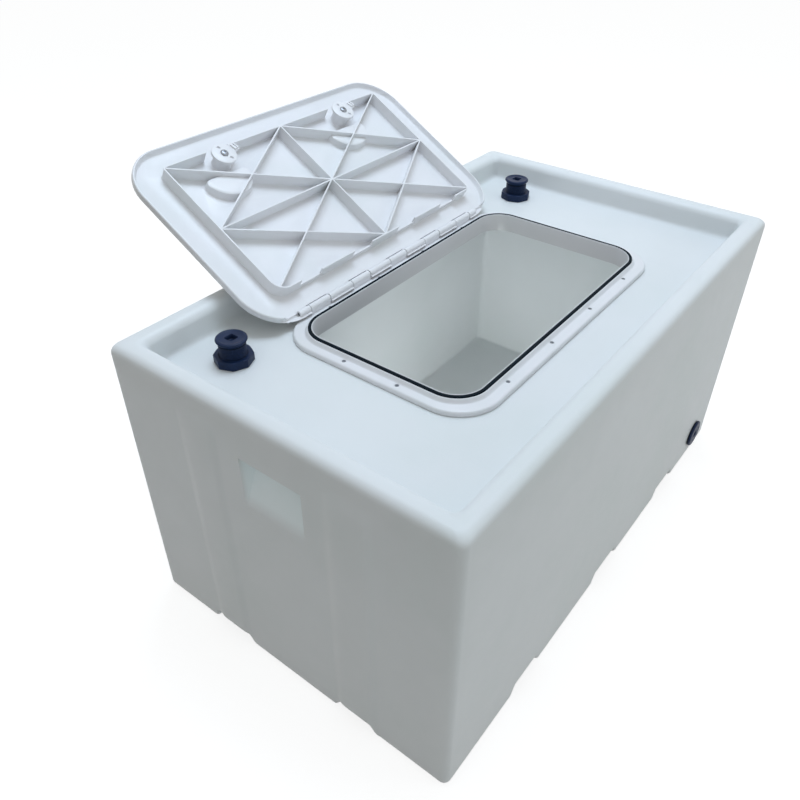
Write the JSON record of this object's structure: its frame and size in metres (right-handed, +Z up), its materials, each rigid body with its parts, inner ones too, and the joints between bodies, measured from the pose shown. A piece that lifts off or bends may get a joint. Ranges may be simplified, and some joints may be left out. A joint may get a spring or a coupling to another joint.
{
  "type": "live fish transport box",
  "caption": "Moulded tank for live fish with a sunk deck, an open ribbed hatch lid on a hinge, turn latches, plugged ports, a drain and hand grips.",
  "frame": {"origin": "the middle of the tank's underside, on its middle pad", "axes": "+Z up, +X along the length, away from the pictured hand grip end, +Y towards the hatch's hinge side"},
  "size_m": [1.007, 0.7962, 0.6708],
  "materials": {
    "tank_plastic": "satin moulded polyethylene",
    "hatch_plastic": "smooth moulded plastic",
    "black_rubber": "matt",
    "port_plastic": "satin",
    "stainless_steel": "brushed"
  },
  "bodies": {
    "tank": {"tank_body": "tank_plastic", "hatch_frame": "hatch_plastic", "hatch_gasket": "black_rubber", "hinge_pin": "stainless_steel", "flange_screw_01": "stainless_steel", "flange_screw_02": "stainless_steel", "flange_screw_03": "stainless_steel", "flange_screw_04": "stainless_steel", "flange_screw_05": "stainless_steel", "flange_screw_06": "stainless_steel", "flange_screw_07": "stainless_steel", "flange_screw_08": "stainless_steel", "flange_screw_09": "stainless_steel", "flange_screw_10": "stainless_steel", "flange_screw_11": "stainless_steel", "flange_screw_12": "stainless_steel", "left_port_body": "port_plastic", "left_port_seal": "black_rubber", "left_port_nut": "port_plastic", "right_port_body": "port_plastic", "right_port_seal": "black_rubber", "right_port_nut": "port_plastic", "drain_body": "port_plastic", "drain_seal": "black_rubber", "drain_nut": "port_plastic"},
    "lid": {"hatch_lid": "hatch_plastic", "left_latch_seal": "black_rubber", "right_latch_seal": "black_rubber"},
    "left_latch": {"left_latch_handle": "hatch_plastic", "left_latch_cam": "hatch_plastic", "left_latch_screw": "stainless_steel"},
    "right_latch": {"right_latch_handle": "hatch_plastic", "right_latch_cam": "hatch_plastic", "right_latch_screw": "stainless_steel"},
    "left_port_ring": {"left_port_o_ring": "black_rubber"},
    "left_port_plug": {"left_port_plug": "port_plastic"},
    "right_port_ring": {"right_port_o_ring": "black_rubber"},
    "right_port_plug": {"right_port_plug": "port_plastic"},
    "drain_ring": {"drain_o_ring": "black_rubber"},
    "drain_plug": {"drain_plug": "port_plastic"}
  },
  "joints": [
    {"name": "lid_hinge", "type": "hinge", "parent": "tank", "child": "lid", "pos_m": [0, 0.176, 0.4825], "axis": [1, 0, 0], "range_deg": [0, 150]},
    {"name": "left_latch_turn", "type": "hinge", "parent": "lid", "child": "left_latch", "pos_m": [-0.148, 0.43191, 0.63025], "axis": [0, -0.5, 0.866], "range_deg": [-13, 77]},
    {"name": "right_latch_turn", "type": "hinge", "parent": "lid", "child": "right_latch", "pos_m": [0.148, 0.43191, 0.63025], "axis": [0, -0.5, 0.866], "range_deg": [-13, 77]},
    {"name": "left_port_plug_lift", "type": "slide", "parent": "tank", "child": "left_port_ring", "axis": [0, 0, 1], "range_m": [0, 0.0139]},
    {"name": "left_port_plug_turn", "type": "hinge", "parent": "left_port_ring", "child": "left_port_plug", "pos_m": [-0.376, 0.182, 0.495], "axis": [0, 0, 1], "range_deg": [0, 2160]},
    {"name": "right_port_plug_lift", "type": "slide", "parent": "tank", "child": "right_port_ring", "axis": [0, 0, 1], "range_m": [0, 0.0139]},
    {"name": "right_port_plug_turn", "type": "hinge", "parent": "right_port_ring", "child": "right_port_plug", "pos_m": [0.392, 0.169, 0.495], "axis": [0, 0, 1], "range_deg": [0, 2160]},
    {"name": "drain_plug_lift", "type": "slide", "parent": "tank", "child": "drain_ring", "axis": [0, -1, 0], "range_m": [0, 0.0139]},
    {"name": "drain_plug_turn", "type": "hinge", "parent": "drain_ring", "child": "drain_plug", "pos_m": [0.4075, -0.3, 0.058], "axis": [0, -1, 0], "range_deg": [0, 2160]}
  ],
  "couplings": [
    {"joint": "left_port_plug_lift", "follows": "left_port_plug_turn", "m_per_rad": 0.00036749},
    {"joint": "right_port_plug_lift", "follows": "right_port_plug_turn", "m_per_rad": 0.00036749},
    {"joint": "drain_plug_lift", "follows": "drain_plug_turn", "m_per_rad": 0.00036749}
  ]
}
